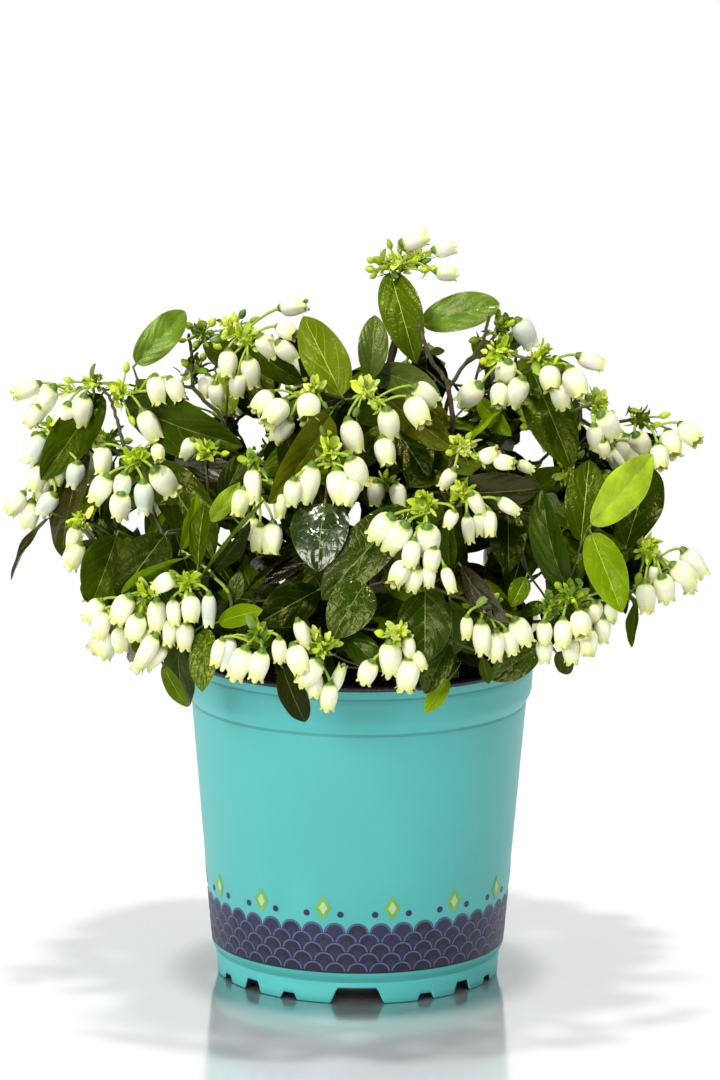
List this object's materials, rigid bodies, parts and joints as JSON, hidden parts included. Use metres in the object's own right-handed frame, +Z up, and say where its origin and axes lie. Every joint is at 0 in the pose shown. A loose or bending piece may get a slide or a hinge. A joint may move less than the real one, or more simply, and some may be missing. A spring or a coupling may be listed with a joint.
{
  "type": "potted blueberry bush",
  "caption": "Dwarf blueberry bush in white bell-shaped blossom, in a round teal nursery pot with a black lip.",
  "frame": {"origin": "on the floor at the pot's axis, the middle of the underside of the whole plant's box", "axes": "+Z up, -Y towards the viewer of the front, +X to the viewer's right"},
  "size_m": [0.2504, 0.238, 0.266],
  "materials": {
    "pot": "satin moulded plastic, teal outside, black lip and inside",
    "soil": "crumbly reddish-brown potting compost",
    "bark": "thin brown bark, greener towards the tips",
    "foliage": "glossy evergreen leaves with white urn-shaped flowers"
  },
  "bodies": {
    "root": {"bough_back_low": "bark", "bough_centre_upper": "bark", "bough_left_skirt": "bark", "bough_right_skirt": "bark", "bough_right_upper": "bark", "bough_skirt_front": "bark", "bough_top_shoulder": "bark", "bough_upper_left": "bark", "cane_back": "bark", "cane_back_left": "bark", "cane_back_right": "bark", "cane_front": "bark", "cane_front_left": "bark", "cane_front_right": "bark", "cane_left": "bark", "cane_middle": "bark", "cane_right": "bark", "foliage_back_low_left": "foliage", "foliage_back_low_mid": "foliage", "foliage_back_low_mid_left": "foliage", "foliage_back_low_mid_right": "foliage", "foliage_back_low_right": "foliage", "foliage_back_mid": "foliage", "foliage_back_mid_left": "foliage", "foliage_back_mid_right": "foliage", "foliage_back_side_right": "foliage", "foliage_back_top": "foliage", "foliage_back_upper_left": "foliage", "foliage_back_upper_right": "foliage", "foliage_centre_front": "foliage", "foliage_centre_mid": "foliage", "foliage_centre_right": "foliage", "foliage_centre_right_upper": "foliage", "foliage_centre_upper": "foliage", "foliage_inner_left": "foliage", "foliage_left_low_tip": "foliage", "foliage_left_lower": "foliage", "foliage_left_mid": "foliage", "foliage_left_shoulder": "foliage", "foliage_left_skirt": "foliage", "foliage_left_tip": "foliage", "foliage_lower_left": "foliage", "foliage_right_low_tip": "foliage", "foliage_right_lower": "foliage", "foliage_right_mid": "foliage", "foliage_right_skirt": "foliage", "foliage_right_tip": "foliage", "foliage_right_upper": "foliage", "foliage_skirt_front": "foliage", "foliage_skirt_front_left": "foliage", "foliage_top_shoulder": "foliage", "foliage_top_sprig": "foliage", "foliage_upper_left": "foliage", "pot": "pot", "soil": "soil", "stem_base": "bark"}
  },
  "joints": []
}
